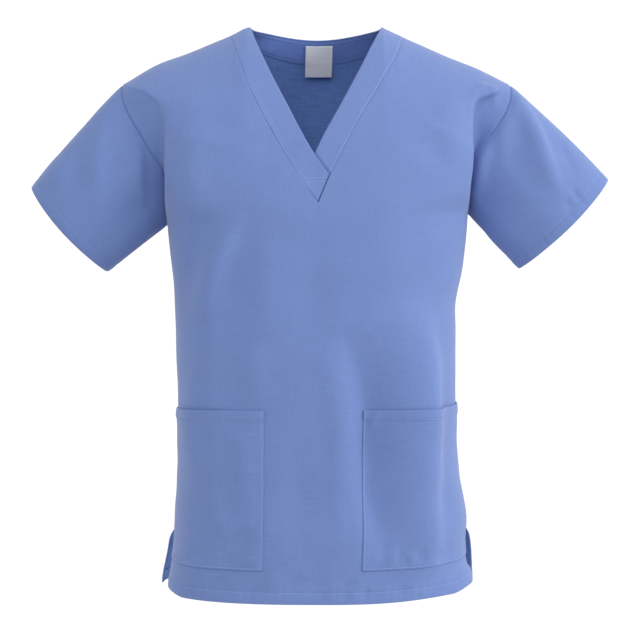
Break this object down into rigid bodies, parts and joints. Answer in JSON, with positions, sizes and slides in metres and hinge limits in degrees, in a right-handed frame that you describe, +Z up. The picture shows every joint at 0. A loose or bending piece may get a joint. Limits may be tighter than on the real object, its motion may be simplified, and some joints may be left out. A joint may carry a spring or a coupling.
{
  "type": "medical scrub top",
  "caption": "Short-sleeved V-neck medical scrub top in worn hollow form, with a lapped neckband, patch pockets and side vents.",
  "frame": {"origin": "between the highest points of the two shoulders, on the shoulder line, where the wearer's shoulders carry the top", "axes": "+Z up, the front faces -Y, and the wearer's left is +X"},
  "size_m": [0.7085, 0.245, 0.6906],
  "materials": {
    "scrub_cloth": "matt plain-woven cotton blend, ceil blue",
    "label_cloth": "soft satin-woven label, bare"
  },
  "bodies": {
    "root": {"front_panel": "scrub_cloth", "back_panel": "scrub_cloth", "sleeve_right": "scrub_cloth", "sleeve_left": "scrub_cloth", "neckband_right": "scrub_cloth", "neckband_left": "scrub_cloth", "neckband_back": "scrub_cloth", "pocket_right": "scrub_cloth", "pocket_left": "scrub_cloth", "neck_label": "label_cloth"}
  },
  "joints": []
}
